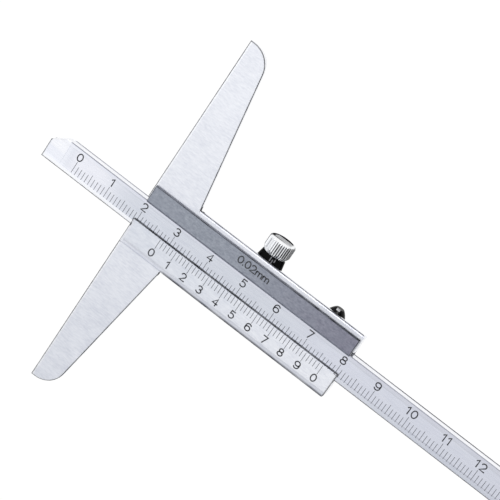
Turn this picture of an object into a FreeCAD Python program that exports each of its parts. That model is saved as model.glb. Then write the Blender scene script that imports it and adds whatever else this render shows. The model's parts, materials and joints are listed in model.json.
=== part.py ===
import FreeCAD
import Part
import math
import os

# Vernier depth gauge, millimetres. X runs along the beam away from the measuring face, Y towards the lock
# screw, Z out of the graduated face. The origin lies in the measuring face, on the beam's centre line, at the
# back plane.

# Outline edges of the beam, arms and guide plate
EDGE_BREAK = 0.12

# Beam
BEAM_WIDTH = 7.3
BEAM_THICKNESS = 3.2
BEAM_TAIL = 18.3
BEAM_CLIP_ALONG = 3.7
BEAM_CLIP_ACROSS = 2.4
BEAM_END_RADIUS = 1.5
SCALE_SINK = 0.1
SCALE_BORDER_LOWER = 1.08
SCALE_BORDER_UPPER = 0.75
SCALE_START = 5.0
SCALE_TAIL = 19.0
READING = 27.82
RANGE = 150.0

# Base: two tapered arms and the slide bar
BASE_SPAN = 100.0
ARM_TIP_WIDTH = 6.1
ARM_ROOT_WIDTH = 12.7
ARM_TIP_RADIUS = 6.0
ARM_WALL = 1.0
ARM_RELIEF_INSET = 1.6
MEASURING_CHAMFER = 0.15
BAR_LENGTH = 61.7
BAR_LOWER_WALL = 5.3
BAR_UPPER_WALL = 4.25
BAR_EDGE_ROUND = 1.9
BAR_CORNER_RADIUS = 1.0
BAR_RELIEF_HEIGHT = 3.0
BAR_RELIEF_INSET = 1.4
ROOT_NOTCH_RADIUS = 0.3
BACK_WALL = 3.07

# Front levels above the beam's face
ARM_RISE = 0.3
LAND_RISE = 1.1
VERNIER_OVERLAP = 1.77
LAND_SETBACK = 0.1

# Rail that runs in front of the screws, level with the arms
RAIL_OUT = 0.77
RAIL_DEPTH = 1.1
RAIL_BEVEL = 0.4
RAIL_CORNER_RADIUS = 0.8

# Guide plate that closes the beam's channel
PLATE_START = 0.5
PLATE_END_SETBACK = 0.4
PLATE_LEDGE = 0.63
PLATE_SEAT_DROP = 0.3
PLATE_LIP_OVERLAP = 0.3
PLATE_BEVEL_ALONG = 0.55
PLATE_BEVEL_DOWN = 0.85
PLATE_SCREW_FIRST = 6.0
PLATE_SCREW_TO_LOCK = 4.8
PLATE_SCREW_TO_TAIL = 3.3
PLATE_SCREW_WALL = 1.2
PLATE_SCREW_RADIUS = 0.8
PLATE_SCREW_HEAD_RADIUS = 1.5
PLATE_SCREW_HEAD_DEPTH = 0.9
PLATE_SCREW_SINK = 0.15
PLATE_SCREW_BITE = 0.9

# Fits
SLIDE_GAP = 0.03
LIP_GAP = 0.05
SPRING_GAP = 0.03
TURN_GAP = 0.03
SEAT_GAP = 0.02

# Leaf spring between the beam's upper edge and the bar's upper wall
SPRING_ROOM = 0.95
SPRING_THICKNESS = 0.28
SPRING_MARGIN = 0.05
SPRING_BOW_TO_TAIL = 1.5
SPRING_TAIL = 2.4

# Lock screw and its seat
LOCK_TO_TAIL = 20.2
LOCK_RADIUS = 1.25
KNOB_RADIUS = 3.5
KNOB_CLEAR = 0.1
KNOB_HEIGHT = 3.88
KNOB_GAP = 0.3
KNOB_FOOT_TAPER = 0.5
KNOB_FOOT_HEIGHT = 0.9
KNOB_CHAMFER_ACROSS = 0.78
KNOB_CHAMFER_ALONG = 0.85
KNURL_COUNT = 36
KNURL_DEPTH = 0.16
SEAT_BASE_WIDTH = 7.3
SEAT_TOP_WIDTH = 6.4
SEAT_POCKET = 1.5
SEAT_RISE = 2.3

# Pressure pad
PAD_CLEAR = 0.05
PAD_THICKNESS = 0.8
PAD_GAP = 0.3
SPIGOT_RADIUS = 0.55
SPIGOT_LENGTH = 0.5
SWIVEL_GAP = 0.04

# Tail screw
TAIL_FROM_END = 8.9
TAIL_HEAD_RADIUS = 2.4
TAIL_HEAD_HEIGHT = 2.6
TAIL_DOME = 1.75
TAIL_DOME_FLAT = 1.1
TAIL_DOME_BULGE = 0.08
TAIL_SPOTFACE = 0.9
TAIL_SHANK_RADIUS = 1.0
TAIL_PIN_RADIUS = 0.5

# Stop screw at the beam's far end
STOP_RADIUS = 2.8
STOP_HEIGHT = 1.2
STOP_SHANK_RADIUS = 1.5
STOP_PLAY = 0.1
SLOT_WIDTH = 0.6
SLOT_DEPTH = 0.5

# Levels along Z
BEAM_BACK = BACK_WALL + SLIDE_GAP
BEAM_FACE = BEAM_BACK + BEAM_THICKNESS
ARM_FACE = BEAM_FACE + ARM_RISE
LAND_FACE = BEAM_FACE + LAND_RISE
LIP_UNDER = BEAM_FACE + LIP_GAP
PLATE_SEAT = BEAM_FACE - PLATE_SEAT_DROP
RAIL_BACK = ARM_FACE - RAIL_DEPTH
LOCK_Z = KNOB_RADIUS + KNOB_CLEAR

# Edges along Y
BEAM_EDGE = BEAM_WIDTH / 2
SPRING_WALL = BEAM_EDGE + SPRING_ROOM
BAR_LOWER = BEAM_EDGE + BAR_LOWER_WALL
BAR_UPPER = SPRING_WALL + BAR_UPPER_WALL
RAIL_EDGE = BAR_UPPER + RAIL_OUT
VERNIER_EDGE = VERNIER_OVERLAP - BEAM_EDGE
PLATE_LIP = BEAM_EDGE - PLATE_LIP_OVERLAP
PLATE_EDGE = BAR_UPPER - PLATE_LEDGE
SEAT_FLOOR = BAR_UPPER - SEAT_POCKET
SEAT_TOP = BAR_UPPER + SEAT_RISE
SEAT_HALF_DEPTH = RAIL_BACK - SEAT_GAP - LOCK_Z
KNOB_UNDER = SEAT_TOP + KNOB_GAP
SPRING_BOW_FACE = BEAM_EDGE + SPRING_GAP + SPRING_THICKNESS
PAD_FACE = SPRING_BOW_FACE + PAD_GAP
PAD_TOP = PAD_FACE + PAD_THICKNESS
SHANK_TIP = PAD_TOP + SWIVEL_GAP
TAIL_SEAT = BAR_UPPER - TAIL_SPOTFACE

# Places along X
BEAM_END = -READING
BEAM_FAR_END = BEAM_END + RANGE + BAR_LENGTH + BEAM_TAIL
PLATE_END = BAR_LENGTH - PLATE_END_SETBACK
TAIL_X = BAR_LENGTH - TAIL_FROM_END
LOCK_X = TAIL_X - LOCK_TO_TAIL
STOP_X = BEAM_END + RANGE + BAR_LENGTH + STOP_RADIUS + STOP_PLAY
SPRING_BOW_HALF = TAIL_X - LOCK_X - SPRING_BOW_TO_TAIL
PLATE_SCREW_PLACES = [PLATE_SCREW_FIRST, LOCK_X - PLATE_SCREW_TO_LOCK, TAIL_X - PLATE_SCREW_TO_TAIL]
PLATE_SCREW_LINE = SPRING_WALL + PLATE_SCREW_WALL

# How far cutting shapes run past the piece
BEYOND = 5.0


def box(x0, x1, y0, y1, z0, z1):
    return Part.makeBox(x1 - x0, y1 - y0, z1 - z0, FreeCAD.Vector(x0, y0, z0))


def rod(x, y0, y1, z, radius):
    """A round bar along Y."""
    return Part.makeCylinder(radius, y1 - y0, FreeCAD.Vector(x, y0, z), FreeCAD.Vector(0, 1, 0))


def post(x, y, z0, z1, radius):
    """A round bar along Z."""
    return Part.makeCylinder(radius, z1 - z0, FreeCAD.Vector(x, y, z0))


def closed_face(corners):
    return Part.Face(Part.makePolygon(corners + corners[:1]))


def along_x(section, x0, x1):
    """Carries a section given as (y, z) points along X."""
    face = closed_face([FreeCAD.Vector(x0, y, z) for y, z in section])
    return face.extrude(FreeCAD.Vector(x1 - x0, 0, 0))


def along_y(section, y0, y1):
    """Carries a section given as (x, z) points along Y."""
    face = closed_face([FreeCAD.Vector(x, y0, z) for x, z in section])
    return face.extrude(FreeCAD.Vector(0, y1 - y0, 0))


def inset_polygon(points, insets):
    """Moves each side of a counter-clockwise polygon inwards by its own amount."""
    lines = []
    for (ax, ay), (bx, by), inset in zip(points, points[1:] + points[:1], insets):
        length = math.hypot(bx - ax, by - ay)
        nx = (ay - by) / length
        ny = (bx - ax) / length
        lines.append((nx, ny, nx * ax + ny * ay + inset))
    moved = []
    for (ax, ay, ac), (bx, by, bc) in zip(lines[-1:] + lines[:-1], lines):
        cross = ax * by - ay * bx
        moved.append(((ac * by - ay * bc) / cross, (ax * bc - ac * bx) / cross))
    return moved


def rounded_wire(points, radii, z):
    """A closed outline at height z, each corner rounded by its own radius; a radius of 0 stays sharp."""
    ends = []
    for i, radius in enumerate(radii):
        corner = FreeCAD.Vector(points[i][0], points[i][1], z)
        before = FreeCAD.Vector(points[i - 1][0], points[i - 1][1], z) - corner
        after = FreeCAD.Vector(points[(i + 1) % len(points)][0], points[(i + 1) % len(points)][1], z) - corner
        before.normalize()
        after.normalize()
        half = before.getAngle(after) / 2
        middle = before + after
        middle.normalize()
        reach = radius / math.tan(half)
        crown = corner + middle * (radius / math.sin(half) - radius)
        ends.append((corner + before * reach, crown, corner + after * reach))
    edges = []
    for i, (start, crown, stop) in enumerate(ends):
        if radii[i] > 0:
            edges.append(Part.Arc(start, crown, stop).toShape())
        edges.append(Part.LineSegment(stop, ends[(i + 1) % len(ends)][0]).toShape())
    return Part.Wire(edges)


def prism(points, radii, z0, z1):
    face = Part.Face(rounded_wire(points, radii, z0))
    return face.extrude(FreeCAD.Vector(0, 0, z1 - z0))


def broken_edges(shape, z):
    """Takes the sharpness off the outline edges that lie at height z."""
    rim = [edge for edge in shape.Edges if abs(edge.BoundBox.ZMin - z) + abs(edge.BoundBox.ZMax - z) < 0.001]
    return shape.makeChamfer(EDGE_BREAK, rim)


def arms_outline(front):
    """The arms, counter-clockwise from the lower tip; front is where the measuring side lies."""
    half = BASE_SPAN / 2
    return [
        (front, -half),
        (ARM_TIP_WIDTH, -half),
        (ARM_ROOT_WIDTH, -BAR_LOWER),
        (ARM_ROOT_WIDTH, BAR_UPPER),
        (ARM_TIP_WIDTH, half),
        (front, half),
    ]


def arms():
    """The tapered arms; below a narrow upright wall their sides lean in towards the back."""
    wall_foot = ARM_FACE - ARM_WALL
    tip = ARM_TIP_RADIUS
    radii = [0, tip, 0, 0, tip, 0]
    tip_below = tip - ARM_RELIEF_INSET
    radii_below = [0, tip_below, 0, 0, tip_below, 0]
    wall = broken_edges(prism(arms_outline(0), radii, wall_foot, ARM_FACE), ARM_FACE)
    wide = arms_outline(-BEYOND)
    narrow = inset_polygon(wide, [ARM_RELIEF_INSET] * 5 + [0])
    foot = rounded_wire(narrow, radii_below, 0)
    relief = Part.makeLoft([foot, rounded_wire(wide, radii, wall_foot)], True, True)
    behind_face = box(0, BAR_LENGTH, -BASE_SPAN, BASE_SPAN, 0, wall_foot)
    return wall.fuse(relief.common(behind_face))


def slide_bar():
    """The bar behind the arms: rounded vernier land below, ledge and rail above, back sides leaning in."""
    low = -BAR_LOWER
    v = FreeCAD.Vector
    round_centre_y = low + BAR_EDGE_ROUND
    round_centre_z = LAND_FACE - BAR_EDGE_ROUND
    diagonal = BAR_EDGE_ROUND * math.sqrt(0.5)
    arc = Part.Arc(
        v(0, low, round_centre_z),
        v(0, round_centre_y - diagonal, round_centre_z + diagonal),
        v(0, round_centre_y, LAND_FACE),
    )
    outline = [
        (round_centre_y, LAND_FACE),
        (VERNIER_EDGE, LAND_FACE),
        (VERNIER_EDGE, ARM_FACE),
        (RAIL_EDGE - RAIL_BEVEL, ARM_FACE),
        (RAIL_EDGE, ARM_FACE - RAIL_BEVEL),
        (RAIL_EDGE, RAIL_BACK),
        (BAR_UPPER, RAIL_BACK),
        (BAR_UPPER, BAR_RELIEF_HEIGHT),
        (BAR_UPPER - BAR_RELIEF_INSET, 0),
        (low + BAR_RELIEF_INSET, 0),
        (low, BAR_RELIEF_HEIGHT),
        (low, round_centre_z),
    ]
    points = [v(0, y, z) for y, z in outline]
    edges = [arc.toShape()]
    for start, stop in zip(points, points[1:]):
        edges.append(Part.LineSegment(start, stop).toShape())
    bar = Part.Face(Part.Wire(edges)).extrude(v(BAR_LENGTH, 0, 0))
    plan = [(0, low), (BAR_LENGTH, low), (BAR_LENGTH, RAIL_EDGE), (0, RAIL_EDGE)]
    bar = bar.common(prism(plan, [0, BAR_CORNER_RADIUS, RAIL_CORNER_RADIUS, 0], 0, LAND_FACE))
    end_relief = along_y(
        [
            (BAR_LENGTH, BAR_RELIEF_HEIGHT),
            (BAR_LENGTH - BAR_RELIEF_INSET, 0),
            (BAR_LENGTH + BEYOND, -BEYOND),
            (BAR_LENGTH + BEYOND, BAR_RELIEF_HEIGHT),
        ],
        low - BEYOND,
        RAIL_EDGE + BEYOND,
    )
    land_step = box(BAR_LENGTH - LAND_SETBACK, BAR_LENGTH, low, VERNIER_EDGE, ARM_FACE, LAND_FACE)
    return bar.cut([end_relief, land_step])


def plate_screw(x, gap):
    """A countersunk screw from the back; gap widens it into the hole that takes it."""
    length = PLATE_SEAT + PLATE_SCREW_BITE - PLATE_SCREW_SINK
    foot = FreeCAD.Vector(x, PLATE_SCREW_LINE, PLATE_SCREW_SINK)
    radius = PLATE_SCREW_RADIUS + gap
    head = Part.makeCone(PLATE_SCREW_HEAD_RADIUS + gap, radius, PLATE_SCREW_HEAD_DEPTH, foot)
    return head.fuse(Part.makeCylinder(radius, length + gap, foot))


def plate_screw_hole(x):
    mouth = post(x, PLATE_SCREW_LINE, -BEYOND, PLATE_SCREW_SINK, PLATE_SCREW_HEAD_RADIUS + SEAT_GAP)
    return plate_screw(x, SEAT_GAP).fuse(mouth)


def channel_cuts():
    """The beam's channel with the spring's room, the open window above it and the guide plate's bed."""
    past = BAR_LENGTH + BEYOND
    return [
        box(-BEYOND, past, -BEAM_EDGE - SLIDE_GAP, SPRING_WALL, BACK_WALL, LIP_UNDER),
        box(-BEYOND, past, VERNIER_EDGE, SPRING_WALL, BACK_WALL, LAND_FACE + BEYOND),
        box(PLATE_START, past, BEAM_EDGE, PLATE_EDGE, PLATE_SEAT, LAND_FACE + BEYOND),
    ]


def lock_cuts():
    """Bore for the lock screw and pad, and the oval pocket of the seat."""
    bore = rod(LOCK_X, SPRING_BOW_FACE, BAR_UPPER + BEYOND, LOCK_Z, LOCK_RADIUS + TURN_GAP)
    pocket = seat_body(SEAT_GAP, SEAT_FLOOR)
    return [bore, pocket]


def tail_cuts():
    """Hole for the tail screw's shank, and the spotface that its head sinks into."""
    shank = rod(TAIL_X, SPRING_WALL - TAIL_PIN_RADIUS, BAR_UPPER, LOCK_Z, TAIL_SHANK_RADIUS)
    spotface = rod(TAIL_X, TAIL_SEAT, RAIL_EDGE + BEYOND, LOCK_Z, TAIL_HEAD_RADIUS + SEAT_GAP)
    return [shank, spotface]


def edge_cuts():
    """The chamfer along the measuring face and the round notches in the roots of the arms."""
    foot = ARM_FACE - MEASURING_CHAMFER
    chamfer = along_y(
        [(-BEYOND, foot - BEYOND), (BEYOND, foot + BEYOND), (-BEYOND, foot + BEYOND)], -BASE_SPAN, BASE_SPAN
    )
    notches = []
    for y in (-BAR_LOWER - ROOT_NOTCH_RADIUS / 2, RAIL_EDGE + ROOT_NOTCH_RADIUS / 2):
        notches.append(post(ARM_ROOT_WIDTH, y, -BEYOND, LAND_FACE, ROOT_NOTCH_RADIUS))
    return [chamfer] + notches


def base_frame():
    body = arms().fuse(slide_bar())
    cuts = channel_cuts() + lock_cuts() + tail_cuts() + edge_cuts()
    cuts += [plate_screw_hole(x) for x in PLATE_SCREW_PLACES]
    return body.cut(cuts).removeSplitter()


def beam():
    """The flat bar; its graduated face is sunk between two polished borders."""
    outline = [
        (BEAM_END, -BEAM_EDGE),
        (BEAM_FAR_END, -BEAM_EDGE),
        (BEAM_FAR_END, BEAM_EDGE),
        (BEAM_END + BEAM_CLIP_ALONG, BEAM_EDGE),
        (BEAM_END, BEAM_EDGE - BEAM_CLIP_ACROSS),
    ]
    bar = prism(outline, [0, BEAM_END_RADIUS, BEAM_END_RADIUS, 0, 0], BEAM_BACK, BEAM_FACE)
    for z in (BEAM_BACK, BEAM_FACE):
        bar = broken_edges(bar, z)
    scale = box(
        BEAM_END + SCALE_START,
        BEAM_FAR_END - SCALE_TAIL,
        -BEAM_EDGE + SCALE_BORDER_LOWER,
        BEAM_EDGE - SCALE_BORDER_UPPER,
        BEAM_FACE - SCALE_SINK,
        BEAM_FACE,
    )
    return bar.cut([scale, post(STOP_X, 0, BEAM_BACK, BEAM_FACE, STOP_SHANK_RADIUS)])


def guide_plate():
    """The satin plate that closes the channel; its lip reaches over the spring and the beam's edge."""
    section = [
        (PLATE_LIP, LIP_UNDER),
        (SPRING_WALL, LIP_UNDER),
        (SPRING_WALL, PLATE_SEAT),
        (PLATE_EDGE, PLATE_SEAT),
        (PLATE_EDGE, LAND_FACE),
        (PLATE_LIP + PLATE_BEVEL_ALONG, LAND_FACE),
        (PLATE_LIP, LAND_FACE - PLATE_BEVEL_DOWN),
    ]
    plate = broken_edges(along_x(section, PLATE_START, PLATE_END), LAND_FACE)
    return plate.cut([plate_screw(x, SEAT_GAP) for x in PLATE_SCREW_PLACES])


def guide_plate_screws():
    screws = []
    low = PLATE_SCREW_LINE - SLOT_WIDTH / 2
    for x in PLATE_SCREW_PLACES:
        slot = box(x - BEYOND, x + BEYOND, low, low + SLOT_WIDTH, 0, PLATE_SCREW_SINK + SLOT_DEPTH)
        screws.append(plate_screw(x, 0).cut(slot))
    return Part.makeCompound(screws)


def leaf_spring():
    """A strip bowed onto the beam at the lock screw, with a flat tail notched for the tail screw's pin."""
    v = FreeCAD.Vector
    low = BEAM_BACK + SPRING_MARGIN
    height = BEAM_THICKNESS - 2 * SPRING_MARGIN
    outer = SPRING_WALL - SEAT_GAP
    inner = outer - SPRING_THICKNESS
    near = BEAM_EDGE + SPRING_GAP
    x0 = LOCK_X - SPRING_BOW_HALF
    x1 = LOCK_X + SPRING_BOW_HALF
    tail = TAIL_X + SPRING_TAIL
    edges = [
        Part.Arc(v(x0, inner, low), v(LOCK_X, near, low), v(x1, inner, low)).toShape(),
        Part.LineSegment(v(x1, inner, low), v(tail, inner, low)).toShape(),
        Part.LineSegment(v(tail, inner, low), v(tail, outer, low)).toShape(),
        Part.LineSegment(v(tail, outer, low), v(x1, outer, low)).toShape(),
        Part.Arc(v(x1, outer, low), v(LOCK_X, near + SPRING_THICKNESS, low), v(x0, outer, low)).toShape(),
        Part.LineSegment(v(x0, outer, low), v(x0, inner, low)).toShape(),
    ]
    strip = Part.Face(Part.Wire(edges)).extrude(v(0, 0, height))
    notch_half = TAIL_PIN_RADIUS + SEAT_GAP
    notch = box(TAIL_X - notch_half, TAIL_X + notch_half, BEAM_EDGE, SPRING_WALL, 0, LOCK_Z)
    return strip.cut([notch, rod(TAIL_X, BEAM_EDGE, SPRING_WALL, LOCK_Z, notch_half)])


def turned_about(x, edges):
    """Turns a half section about the axis along Y through x at the screws' height."""
    half_section = Part.Face(Part.Wire(edges))
    return half_section.revolve(FreeCAD.Vector(x, 0, LOCK_Z), FreeCAD.Vector(0, 1, 0), 360)


def straight_edges(x, profile):
    """Edges between (radius, y) points."""
    points = [FreeCAD.Vector(x + radius, y, LOCK_Z) for radius, y in profile]
    return [Part.LineSegment(start, stop).toShape() for start, stop in zip(points, points[1:])]


def knurl_cutters():
    """Straight V grooves round the knob, each a thin three-sided bar."""
    outer = KNOB_RADIUS + KNURL_DEPTH
    root = KNOB_RADIUS - KNURL_DEPTH
    half_width = outer * math.tan(math.pi / KNURL_COUNT)
    y0 = KNOB_UNDER - KNOB_GAP / 2
    corners = [
        FreeCAD.Vector(LOCK_X + root, y0, LOCK_Z),
        FreeCAD.Vector(LOCK_X + outer, y0, LOCK_Z + half_width),
        FreeCAD.Vector(LOCK_X + outer, y0, LOCK_Z - half_width),
    ]
    bar = closed_face(corners).extrude(FreeCAD.Vector(0, KNOB_HEIGHT + KNOB_GAP, 0))
    cutters = []
    for i in range(KNURL_COUNT):
        cutter = bar.copy()
        cutter.rotate(FreeCAD.Vector(LOCK_X, 0, LOCK_Z), FreeCAD.Vector(0, 1, 0), 360.0 * i / KNURL_COUNT)
        cutters.append(cutter)
    return cutters


def lock_screw():
    """Knurled head, plain shank in place of the thread, and the spigot that the pad turns on."""
    top = KNOB_UNDER + KNOB_HEIGHT
    profile = [
        (0, SHANK_TIP - SPIGOT_LENGTH),
        (SPIGOT_RADIUS, SHANK_TIP - SPIGOT_LENGTH),
        (SPIGOT_RADIUS, SHANK_TIP),
        (LOCK_RADIUS, SHANK_TIP),
        (LOCK_RADIUS, KNOB_UNDER),
        (KNOB_RADIUS - KNOB_FOOT_TAPER, KNOB_UNDER),
        (KNOB_RADIUS, KNOB_UNDER + KNOB_FOOT_HEIGHT),
        (KNOB_RADIUS, top - KNOB_CHAMFER_ALONG),
        (KNOB_RADIUS - KNOB_CHAMFER_ACROSS, top),
        (0, top),
        (0, SHANK_TIP - SPIGOT_LENGTH),
    ]
    return turned_about(LOCK_X, straight_edges(LOCK_X, profile)).cut(knurl_cutters())


def oval(y, half_width, half_depth):
    """An ellipse across the lock screw's axis, long way along X."""
    centre = FreeCAD.Vector(LOCK_X, y, LOCK_Z)
    ends = centre + FreeCAD.Vector(half_width, 0, 0)
    side = centre + FreeCAD.Vector(0, 0, half_depth)
    return Part.Wire([Part.Ellipse(ends, side, centre).toShape()])


def seat_body(gap, floor):
    """An oval plug up to the bar's upper side; gap widens it into its pocket."""
    plug = Part.Face(oval(floor, SEAT_BASE_WIDTH / 2 + gap, SEAT_HALF_DEPTH + gap))
    return plug.extrude(FreeCAD.Vector(0, BAR_UPPER - floor, 0))


def lock_screw_seat():
    """The black oval let into the bar; above the bar its ends lean in towards the knob."""
    base = oval(BAR_UPPER, SEAT_BASE_WIDTH / 2, SEAT_HALF_DEPTH)
    top = oval(SEAT_TOP, SEAT_TOP_WIDTH / 2, SEAT_HALF_DEPTH)
    neck = Part.makeLoft([base, top], True, True)
    bore = rod(LOCK_X, SEAT_FLOOR, SEAT_TOP, LOCK_Z, LOCK_RADIUS + TURN_GAP)
    return seat_body(0, SEAT_FLOOR).fuse(neck).cut(bore).removeSplitter()


def pressure_pad():
    disc = rod(LOCK_X, PAD_FACE, PAD_TOP, LOCK_Z, LOCK_RADIUS - PAD_CLEAR)
    socket = rod(LOCK_X, SHANK_TIP - SPIGOT_LENGTH - SWIVEL_GAP, PAD_TOP, LOCK_Z, SPIGOT_RADIUS + SWIVEL_GAP)
    return disc.cut(socket)


def tail_screw():
    """Domed head in its spotface, shank through the wall and a pin in the spring's notch."""
    crown = TAIL_SEAT + TAIL_HEAD_HEIGHT
    shoulder = crown - TAIL_DOME
    tip = SPRING_WALL - SPRING_THICKNESS
    lower = [
        (0, tip),
        (TAIL_PIN_RADIUS, tip),
        (TAIL_PIN_RADIUS, SPRING_WALL),
        (TAIL_SHANK_RADIUS, SPRING_WALL),
        (TAIL_SHANK_RADIUS, TAIL_SEAT),
        (TAIL_HEAD_RADIUS, TAIL_SEAT),
        (TAIL_HEAD_RADIUS, shoulder),
    ]
    upper = [(TAIL_DOME_FLAT, crown), (0, crown), (0, tip)]
    middle_radius = (TAIL_HEAD_RADIUS + TAIL_DOME_FLAT) / 2 + TAIL_DOME_BULGE
    middle_y = (shoulder + crown) / 2 + TAIL_DOME_BULGE
    dome = Part.Arc(
        FreeCAD.Vector(TAIL_X + TAIL_HEAD_RADIUS, shoulder, LOCK_Z),
        FreeCAD.Vector(TAIL_X + middle_radius, middle_y, LOCK_Z),
        FreeCAD.Vector(TAIL_X + TAIL_DOME_FLAT, crown, LOCK_Z),
    ).toShape()
    return turned_about(TAIL_X, straight_edges(TAIL_X, lower) + [dome] + straight_edges(TAIL_X, upper))


def beam_stop_screw():
    """A low slotted head on the beam's face; it ends the beam's travel against the bar."""
    top = BEAM_FACE + STOP_HEIGHT
    head = post(STOP_X, 0, BEAM_FACE, top, STOP_RADIUS)
    rim = [edge for edge in head.Edges if edge.Closed and edge.BoundBox.ZMin > BEAM_FACE]
    head = head.makeFillet(STOP_HEIGHT / 2, rim)
    shank = post(STOP_X, 0, BEAM_BACK, BEAM_FACE, STOP_SHANK_RADIUS)
    half = SLOT_WIDTH / 2
    slot = box(STOP_X - STOP_RADIUS, STOP_X + STOP_RADIUS, -half, half, top - SLOT_DEPTH, top)
    return head.fuse(shank).cut(slot)


NODES = {
    "base_frame": base_frame,
    "beam": beam,
    "guide_plate": guide_plate,
    "guide_plate_screws": guide_plate_screws,
    "leaf_spring": leaf_spring,
    "lock_screw": lock_screw,
    "lock_screw_seat": lock_screw_seat,
    "pressure_pad": pressure_pad,
    "tail_screw": tail_screw,
    "beam_stop_screw": beam_stop_screw,
}

os.makedirs("parts", exist_ok=True)
for name, build in NODES.items():
    shape = build()
    shape.exportStep(f"parts/{name}.step")
    print(name, "solids", len(shape.Solids), "valid", shape.isValid(), "volume", round(shape.Volume, 2))
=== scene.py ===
import bpy
import json
import numpy as np
from mathutils import Matrix, Vector


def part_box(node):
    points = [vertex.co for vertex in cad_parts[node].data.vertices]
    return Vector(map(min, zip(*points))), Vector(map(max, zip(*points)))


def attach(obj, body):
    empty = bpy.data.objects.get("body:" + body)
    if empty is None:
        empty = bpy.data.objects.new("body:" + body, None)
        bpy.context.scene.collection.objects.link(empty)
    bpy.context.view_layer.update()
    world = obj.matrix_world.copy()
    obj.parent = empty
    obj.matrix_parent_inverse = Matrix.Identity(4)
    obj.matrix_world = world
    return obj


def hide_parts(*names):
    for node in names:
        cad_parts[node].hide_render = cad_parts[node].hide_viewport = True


# Looks of a vernier depth gauge. Lengths are millimetres, as in its CAD model; toMetres brings them to
# Blender's metres where a mesh or a shader takes them.

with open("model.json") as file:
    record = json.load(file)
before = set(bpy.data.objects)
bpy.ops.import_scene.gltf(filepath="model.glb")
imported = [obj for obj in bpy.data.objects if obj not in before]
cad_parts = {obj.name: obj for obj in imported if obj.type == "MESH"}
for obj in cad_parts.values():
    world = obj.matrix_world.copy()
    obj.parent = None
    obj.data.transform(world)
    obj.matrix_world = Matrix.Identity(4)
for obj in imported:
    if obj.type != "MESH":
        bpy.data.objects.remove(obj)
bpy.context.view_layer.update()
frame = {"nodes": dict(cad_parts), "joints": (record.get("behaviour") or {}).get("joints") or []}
cadNodes = frame["nodes"]
toMetres = 0.001
# near-black of the painted shade that ambient occlusion lays in closed-in spots
hollowShadeColour = "#17171a"


def corners(node):
    # the two far corners of a node's box, in mm
    low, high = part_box(node)
    return np.array(low) / toMetres, np.array(high) / toMetres


_, frameHigh = corners("base_frame")
beamLow, beamHigh = corners("beam")
_, plateHigh = corners("guide_plate")
screwLow, screwHigh = corners("lock_screw")
lockJoint = next(joint for joint in frame["joints"] if joint["name"] == "lock_screw_turn")
lockX, _, lockZ = (value / toMetres for value in lockJoint["pos_m"])
print("frame loaded, beam from", beamLow.round(2), "to", beamHigh.round(2))


def linearColour(hexText):
    # sRGB hex to linear light: c/12.92 near black, else ((c + 0.055) / 1.055) to the power 2.4
    levels = np.array([int(hexText[i:i + 2], 16) for i in (1, 3, 5)]) / 255
    linear = np.where(levels <= 0.04045, levels / 12.92, ((levels + 0.055) / 1.055) ** 2.4)
    return (*linear.tolist(), 1.0)


def addNode(tree, kind, inputs=None, **settings):
    # adds a node; inputs holds numbers, colours or the outputs that are linked in
    made = tree.nodes.new(kind)
    for name, value in settings.items():
        setattr(made, name, value)
    for name, value in (inputs or {}).items():
        if isinstance(value, bpy.types.NodeSocket):
            tree.links.new(value, made.inputs[name])
        else:
            made.inputs[name].default_value = value
    return made


def emptyMaterial(name):
    material = bpy.data.materials.new(name)
    material.use_nodes = True
    material.node_tree.nodes.clear()
    return material, material.node_tree


def mixNumber(tree, share, first, second):
    # first where the share is 0 and second where it is 1; the node takes numbers in its sockets 2 and 3
    return addNode(tree, "ShaderNodeMix", {0: share, 2: first, 3: second}).outputs[0]


def mixColour(tree, share, first, second, blend="MIX"):
    # the same for colours, which it takes in its sockets 6 and 7
    return addNode(tree, "ShaderNodeMix", {
        0: share, 6: first, 7: second,
    }, data_type="RGBA", blend_type=blend).outputs[2]


def stretched(tree, value, low, high, least, most, kind="LINEAR"):
    # least where value is up to low, most from high on, and in between an even or smooth change
    return addNode(tree, "ShaderNodeMapRange", {
        "Value": value, "From Min": low, "From Max": high, "To Min": least, "To Max": most,
    }, interpolation_type=kind).outputs[0]


def noiseCells(tree, point, sizes, detail, roughness=0.5):
    # Blender's noise in cells of these sizes along x, y and z; nearly all of it lies between 0.3 and 0.7
    scale = [1 / (size * toMetres) for size in sizes]
    cells = addNode(tree, "ShaderNodeMapping", {"Vector": point, "Scale": scale})
    return addNode(tree, "ShaderNodeTexNoise", {
        "Vector": cells.outputs[0], "Scale": 1.0, "Detail": detail, "Roughness": roughness,
    }).outputs["Fac"]


def above(tree, value, low, soft, unit=toMetres):
    # a share that is 1 from low on and fades smoothly to 0 over soft before it
    return stretched(tree, value, (low - soft) * unit, low * unit, 0.0, 1.0, "SMOOTHSTEP")


def below(tree, value, high, soft, unit=toMetres):
    # a share that is 1 up to high and fades smoothly to 0 over soft past it
    return stretched(tree, value, high * unit, (high + soft) * unit, 1.0, 0.0, "SMOOTHSTEP")


def band(tree, value, low, high, soft, unit=toMetres):
    # a share that is 1 between low and high and fades smoothly to 0 over soft outside them
    return overlap(tree, above(tree, value, low, soft, unit), below(tree, value, high, soft, unit))


def overlap(tree, *shares):
    # where all shares hold at once: their product
    total = shares[0]
    for share in shares[1:]:
        total = addNode(tree, "ShaderNodeMath", {0: total, 1: share}, operation="MULTIPLY").outputs[0]
    return total


def without(tree, share, hole):
    # a share with another taken out of it
    left = addNode(tree, "ShaderNodeMath", {0: 1.0, 1: hole}, operation="SUBTRACT").outputs[0]
    return overlap(tree, share, left)


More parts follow.
